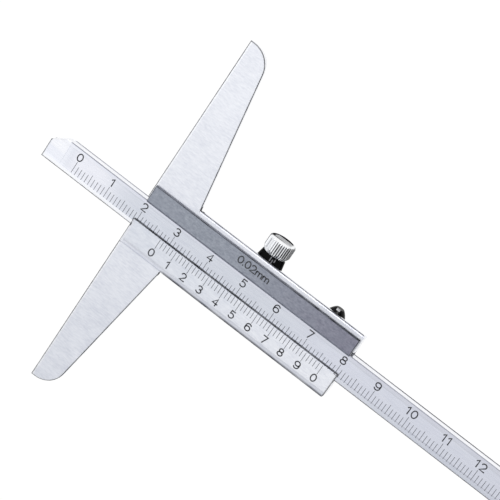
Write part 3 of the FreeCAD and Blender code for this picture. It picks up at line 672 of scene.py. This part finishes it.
def lockScrew():
    shape, paintedShade, paintedDarkening = knurledHead()
    head = meshPiece("lockScrewHead", [shape], knurlMaterial(), "clamp_screw")
    for name, values in (("groove", paintedShade), ("paintedDarkening", paintedDarkening)):
        head.data.attributes.new(name, "FLOAT", "POINT").data.foreach_set("value", values.astype(np.float32))
    steel = workedSurface("oiled cut steel thread", {
        "colour": "#bfc0c4", "grainShade": "#bcbcc0", "grainDepth": 0.7, "grain": (0.4, 0.4, 0.4),
        "cloud": (2.0, 2.0, 2.0), "cloudColour": "#8f9095", "cloudDepth": 0.4, "roughness": 0.26,
        "metallic": 1.0, "bump": 0.1, "groove": 0.003, "hollowShade": 0.8, "hollowShadeReach": 0.3,
    })
    shank = meshPiece("lockScrewShank", [threadedShank()], steel, "clamp_screw")
    for piece in (head, shank):
        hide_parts("lock_screw")


lockScrew()
print("lock screw made")


# enamel in the cut lines: its greyer spots, how much they show and their size, and how dull it is
enamel = {"thinColour": "#6a6c74", "thinShare": 0.35, "cell": 0.6, "roughness": 0.5}


def paintMaterial(name, hexText):
    # enamel wiped into cut lines: flat and nearly black, thinner and greyer in places
    material, tree = emptyMaterial(name)
    place = placeOf(tree)
    uneven = noiseCells(tree, place["point"], [enamel["cell"]] * 3, 2.0)
    thin = stretched(tree, uneven, 0.35, 0.7, 0.0, enamel["thinShare"])
    colour = mixColour(tree, thin, linearColour(hexText), linearColour(enamel["thinColour"]))
    surface = addNode(tree, "ShaderNodeBsdfPrincipled", {
        "Base Color": colour, "Roughness": enamel["roughness"],
    })
    addNode(tree, "ShaderNodeOutputMaterial", {"Surface": surface.outputs["BSDF"]})
    return material


def strokeBar(path, width, low, high, closed=False):
    # A rectangle carried along a flat path. At each point the sides stand off by half the width along the
    # mitre of the two neighbouring directions; open ends are rounded by rings that narrow as a half circle.
    path = np.asarray(path, float)
    half = np.full(len(path), width / 2)
    if not closed:
        start = path[0] - path[1]
        stop = path[-1] - path[-2]
        start /= np.linalg.norm(start)
        stop /= np.linalg.norm(stop)
        turn = np.radians([20, 50, 75])
        reach = (width / 2 * np.cos(turn))[:, None]
        narrow = width / 2 * np.sin(turn)
        path = np.vstack([path[0] + start * reach, path, path[-1] + (stop * reach)[::-1]])
        half = np.concatenate([narrow, half, narrow[::-1]])
    step = np.roll(path, -1, 0) - path
    step /= np.linalg.norm(step, axis=1)[:, None] + 1e-12
    before = np.roll(step, 1, 0)
    if not closed:
        step[-1] = before[-1]
        before[0] = step[0]
    middle = step + before
    middle /= np.linalg.norm(middle, axis=1)[:, None] + 1e-12
    normal = np.stack([-middle[:, 1], middle[:, 0]], 1)
    lean = np.clip((middle * step).sum(1), 0.6, 1)
    side = normal * (half / lean)[:, None]
    left, right = path + side, path - side
    count = len(path)
    rings = np.empty((count, 4, 3))
    rings[:, 0, :2], rings[:, 0, 2] = left, low
    rings[:, 1, :2], rings[:, 1, 2] = right, low
    rings[:, 2, :2], rings[:, 2, 2] = right, high
    rings[:, 3, :2], rings[:, 3, 2] = left, high
    i = np.arange(count if closed else count - 1)[:, None]
    k = np.arange(4)[None, :]
    j = (i + 1) % count
    faces = np.stack([i * 4 + k, i * 4 + (k + 1) % 4, j * 4 + (k + 1) % 4, j * 4 + k], -1).reshape(-1, 4)
    if not closed:
        ends = np.array([[3, 2, 1, 0], [0, 1, 2, 3]]) + np.array([[0], [(count - 1) * 4]])
        faces = np.vstack([faces, ends])
    return rings.reshape(-1, 3), [faces]


def bow(centre, radii, start, stop):
    # points on an ellipse between two angles in degrees, about one for each 15 degrees
    count = max(3, int(abs(stop - start) / 15) + 1)
    angle = np.radians(np.linspace(start, stop, count))
    return np.stack([centre[0] + radii[0] * np.cos(angle), centre[1] + radii[1] * np.sin(angle)], 1)


def glyph(sign):
    # single-line signs in a cell one unit high: (strokes, width); a stroke is (points, closed)
    if sign == "0":
        return [(bow((0.34, 0.5), (0.34, 0.5), 0, 345), True)], 0.68
    if sign == "1":
        return [([(0.0, 0.76), (0.28, 1.0), (0.28, 0.0)], False)], 0.34
    if sign == "2":
        hook = bow((0.33, 0.7), (0.31, 0.3), 165, -35)
        return [(np.vstack([hook, [(0.02, 0.0), (0.68, 0.0)]]), False)], 0.7
    if sign == "3":
        upper = bow((0.31, 0.75), (0.29, 0.25), 155, -80)
        lower = bow((0.31, 0.27), (0.34, 0.27), 80, -155)
        return [(np.vstack([upper, lower]), False)], 0.66
    if sign == "4":
        return [([(0.5, 0.0), (0.5, 1.0), (0.0, 0.3), (0.7, 0.3)], False)], 0.7
    if sign == "5":
        belly = bow((0.31, 0.33), (0.34, 0.33), 130, -150)
        return [(np.vstack([[(0.6, 1.0), (0.13, 1.0)], belly]), False)], 0.66
    if sign == "6":
        back = np.vstack([[(0.0, 0.31)], bow((0.35, 0.64), (0.35, 0.36), 180, 35)])
        return [(bow((0.34, 0.31), (0.34, 0.31), 0, 345), True), (back, False)], 0.68
    if sign == "7":
        return [([(0.0, 1.0), (0.64, 1.0), (0.22, 0.0)], False)], 0.64
    if sign == "8":
        upper = bow((0.34, 0.76), (0.27, 0.24), 0, 345)
        return [(upper, True), (bow((0.34, 0.27), (0.34, 0.27), 0, 345), True)], 0.68
    if sign == "9":
        back = np.vstack([[(0.68, 0.69)], bow((0.33, 0.36), (0.35, 0.36), 0, -145)])
        return [(bow((0.34, 0.69), (0.34, 0.31), 0, 345), True), (back, False)], 0.68
    if sign == ".":
        return [([(0.05, 0.0), (0.05, 0.04)], False)], 0.1
    left = np.array([(0.0, 0.0), (0.0, 0.62)])  # what is left is the m of the millimetre
    arch = np.vstack([bow((0.22, 0.42), (0.22, 0.2), 170, 0), [(0.44, 0.0)]])
    return [(left, False), (arch, False), (arch + (0.44, 0.0), False)], 0.88


def lettering(text, centre, marks, low, high):
    # sets signs in a row about the centre; the stroke's own width is part of the height
    rise = marks["height"] - marks["stroke"]
    cells = [glyph(sign) for sign in text]
    wide = rise * marks["wide"]
    total = sum(cell[1] for cell in cells) * wide + marks["gap"] * (len(text) - 1)
    x = centre[0] - total / 2
    bars = []
    for strokes, cellWidth in cells:
        for points, closed in strokes:
            placed = np.asarray(points) * (wide, rise) + (x, centre[1] - rise / 2)
            bars.append(strokeBar(placed, marks["stroke"], low, high, closed))
        x += cellWidth * wide + marks["gap"]
    return bars


def tickRow(places, foot, lengths, width, low, high):
    # upright lines side by side; a negative length hangs down from the foot
    return [strokeBar([(x, foot), (x, foot + length)], width, low, high)
            for x, length in zip(places, lengths)]


numeralFill = paintMaterial("black enamel wiped into cut numerals", "#1a1b1e")
lineFill = paintMaterial("black enamel worn thin in cut lines", "#47494f")

# graduations of the beam: one a millimetre from zero, longer at five and ten, numbered in centimetres
beamScale = {
    "zeroFromEnd": 8.63, "last": 200, "foot": 1.1, "short": 2.1, "five": 2.6, "ten": 2.95, "line": 0.13,
    "fill": 0.012, "height": 2.18, "wide": 1.08, "stroke": 0.31, "numeralRise": 4.32, "gap": 0.75,
}


def beamMarks():
    zeroX = beamLow[0] + beamScale["zeroFromEnd"]
    footY = beamLow[1] + beamScale["foot"]
    floor = beamHigh[2] - beam["sink"]
    low, high = floor - beamScale["fill"], floor + beamScale["fill"]
    steps = np.arange(beamScale["last"] + 1)
    five = np.where(steps % 5 == 0, beamScale["five"], beamScale["short"])
    lengths = np.where(steps % 10 == 0, beamScale["ten"], five)
    ticks = tickRow(zeroX + steps, footY, lengths, beamScale["line"], low, high)
    meshPiece("beamGraduations", ticks, lineFill, "depth_beam")
    signs = []
    for number in range(beamScale["last"] // 10 + 1):
        centre = (zeroX + 10 * number, footY + beamScale["numeralRise"])
        signs += lettering(str(number), centre, beamScale, low, high)
    meshPiece("beamNumerals", signs, numeralFill, "depth_beam")


# vernier on the land beside the beam: fifty divisions over forty-nine millimetres, numbered by tenths
vernier = {
    "zero": 8.63, "divisions": 50, "length": 49.0, "start": 0.1, "short": 1.85, "five": 2.65, "line": 0.13,
    "fill": 0.012, "height": 2.13, "wide": 1.06, "stroke": 0.31, "numeralDrop": 3.92, "numeralShift": -0.18,
    "gap": 0.3,
}


def vernierMarks():
    low, high = frameHigh[2] - vernier["fill"], frameHigh[2] + vernier["fill"]
    edge = base["vernierEdge"]
    steps = np.arange(vernier["divisions"] + 1)
    places = vernier["zero"] + steps * vernier["length"] / vernier["divisions"]
    lengths = vernier["start"] - np.where(steps % 5 == 0, vernier["five"], vernier["short"])
    ticks = tickRow(places, edge - vernier["start"], lengths, vernier["line"], low, high)
    meshPiece("vernierGraduations", ticks, lineFill, "base")
    signs = []
    for step in range(0, vernier["divisions"] + 1, 5):
        centre = (places[step] + vernier["numeralShift"], edge - vernier["numeralDrop"])
        signs += lettering(str(step // 5 % 10), centre, vernier, low, high)
    meshPiece("vernierNumerals", signs, numeralFill, "base")


# the vernier's resolution, on the guide plate
resolution = {
    "text": "0.02mm", "centre": (31.2, 6.45), "height": 2.02, "wide": 1.08, "stroke": 0.3, "gap": 0.34,
    "fill": 0.012,
}


def resolutionMark():
    low, high = plateHigh[2] - resolution["fill"], plateHigh[2] + resolution["fill"]
    signs = lettering(resolution["text"], resolution["centre"], resolution, low, high)
    meshPiece("resolutionMark", signs, numeralFill, "base")


beamMarks()
vernierMarks()
resolutionMark()
print("scales and numerals made")

# a pale board under an even sky that is a little brighter over the tool's left and its lock screw's side,
# with a low dark flag far to its right and one small softbox behind its screws
studio = {
    "floorSize": 6.0, "floorColour": "#f4f4f4", "cameraGlow": 0.96, "glossGlow": 0.85, "glowStrength": 1.03,
    "sky": "#fbfcff", "skyLevel": 1.02, "skyTiltX": -0.9, "skyTiltY": 2.2, "skyMiddle": (-0.21, -0.31),
    "skyLow": 0.75, "skyHigh": 1.2, "horizon": 0.9, "horizonFade": (0.3, 0.75),
    "flag": 0.05, "flagTop": 0.38, "flagFrom": 0.62,
    "keyPlace": (70, 860, 515), "keySize": (0.4, 0.22), "keyPower": 2.6,
}


def studioFloor():
    # part of what the camera and mirrors see of the board is its own white, the rest keeps the soft shadow
    material, tree = emptyMaterial("pale studio board")
    rays = addNode(tree, "ShaderNodeLightPath")
    mirrored = addNode(tree, "ShaderNodeMath", {
        0: rays.outputs["Is Glossy Ray"], 1: rays.outputs["Is Transmission Ray"],
    }, operation="MAXIMUM").outputs[0]
    mirrorShare = overlap(tree, mirrored, studio["glossGlow"])
    share = addNode(tree, "ShaderNodeMath", {
        0: overlap(tree, rays.outputs["Is Camera Ray"], studio["cameraGlow"]), 1: mirrorShare,
    }, operation="MAXIMUM").outputs[0]
    board = addNode(tree, "ShaderNodeBsdfDiffuse", {"Color": linearColour(studio["floorColour"])})
    glow = addNode(tree, "ShaderNodeEmission", {"Strength": studio["glowStrength"]})
    mixed = addNode(tree, "ShaderNodeMixShader", {0: share, 1: board.outputs[0], 2: glow.outputs[0]})
    under = addNode(tree, "ShaderNodeNewGeometry").outputs["Backfacing"]
    clear = addNode(tree, "ShaderNodeBsdfTransparent")
    both = addNode(tree, "ShaderNodeMixShader", {0: under, 1: mixed.outputs[0], 2: clear.outputs[0]})
    addNode(tree, "ShaderNodeOutputMaterial", {"Surface": both.outputs[0]})
    half = studio["floorSize"] / 2
    level = -0.02 * toMetres
    mesh = bpy.data.meshes.new("studioFloor")
    outline = [(-half, -half, level), (half, -half, level), (half, half, level), (-half, half, level)]
    mesh.from_pydata(outline, [], [(0, 1, 2, 3)])
    mesh.materials.append(material)
    floor = bpy.data.objects.new("studioFloor", mesh)
    bpy.context.scene.collection.objects.link(floor)


def studioSky():
    # overhead the level falls evenly along X and rises along Y; towards the horizon it turns even, and the
    # flag darkens the far right. The camera itself sees plain white.
    world = bpy.data.worlds.new("studio")
    bpy.context.scene.world = world
    world.use_nodes = True
    tree = world.node_tree
    tree.nodes.clear()
    towards = addNode(tree, "ShaderNodeTexCoord").outputs["Generated"]
    x, y, z = addNode(tree, "ShaderNodeSeparateXYZ", {0: towards}).outputs
    tiltX, tiltY = studio["skyTiltX"], studio["skyTiltY"]
    middleX, middleY = studio["skyMiddle"]
    alongX = addNode(tree, "ShaderNodeMath", {
        0: x, 1: tiltX, 2: 1 - tiltX * middleX - tiltY * middleY,
    }, operation="MULTIPLY_ADD").outputs[0]
    tilted = addNode(tree, "ShaderNodeMath", {0: y, 1: tiltY, 2: alongX}, operation="MULTIPLY_ADD").outputs[0]
    overhead = addNode(tree, "ShaderNodeClamp", {
        0: overlap(tree, tilted, studio["skyLevel"]), 1: studio["skyLow"], 2: studio["skyHigh"],
    })
    lowShare = stretched(tree, z, *studio["horizonFade"], 1.0, 0.0, "SMOOTHSTEP")
    even = mixNumber(tree, lowShare, overhead.outputs[0], studio["horizon"])
    flagShare = overlap(tree, above(tree, x, studio["flagFrom"], 0.2, 1),
                        below(tree, z, studio["flagTop"] - 0.1, 0.1, 1))
    strength = mixNumber(tree, flagShare, even, studio["flag"])
    seen = addNode(tree, "ShaderNodeLightPath").outputs["Is Camera Ray"]
    strength = mixNumber(tree, seen, strength, 1.0)
    soft = addNode(tree, "ShaderNodeBackground", {"Color": linearColour(studio["sky"]), "Strength": strength})
    addNode(tree, "ShaderNodeOutputWorld", {"Surface": soft.outputs[0]})


def softbox():
    lamp = bpy.data.lights.new("softbox", "AREA")
    lamp.shape = "RECTANGLE"
    lamp.size, lamp.size_y = studio["keySize"]
    lamp.energy = studio["keyPower"]
    holder = bpy.data.objects.new("softbox", lamp)
    holder.location = Vector(studio["keyPlace"]) * toMetres
    holder.rotation_euler = (-holder.location).to_track_quat("-Z", "Y").to_euler()
    bpy.context.scene.collection.objects.link(holder)


# the lens is 4.2 times as long as its sensor is wide; forward and up are unit directions in the part's frame
view = {
    "place": (109.49, 155.57, 470.89), "forward": (-0.165754, -0.2961, -0.940665),
    "up": (-0.59924, 0.787805, -0.142391), "sensor": 36.0, "lens": 151.2,
}


def studioCamera():
    back = -Vector(view["forward"]).normalized()
    right = Vector(view["up"]).cross(back).normalized()
    turn = Matrix((right, back.cross(right), back)).transposed().to_4x4()
    lens = bpy.data.cameras.new("camera")
    lens.sensor_width = view["sensor"]
    lens.lens = view["lens"]
    lens.clip_start = 0.01
    camera = bpy.data.objects.new("camera", lens)
    camera.matrix_world = Matrix.Translation(Vector(view["place"]) * toMetres) @ turn
    bpy.context.scene.collection.objects.link(camera)
    bpy.context.scene.camera = camera


studioFloor()
studioSky()
softbox()
studioCamera()
bpy.context.scene.view_settings.view_transform = "Standard"
print("studio ready")
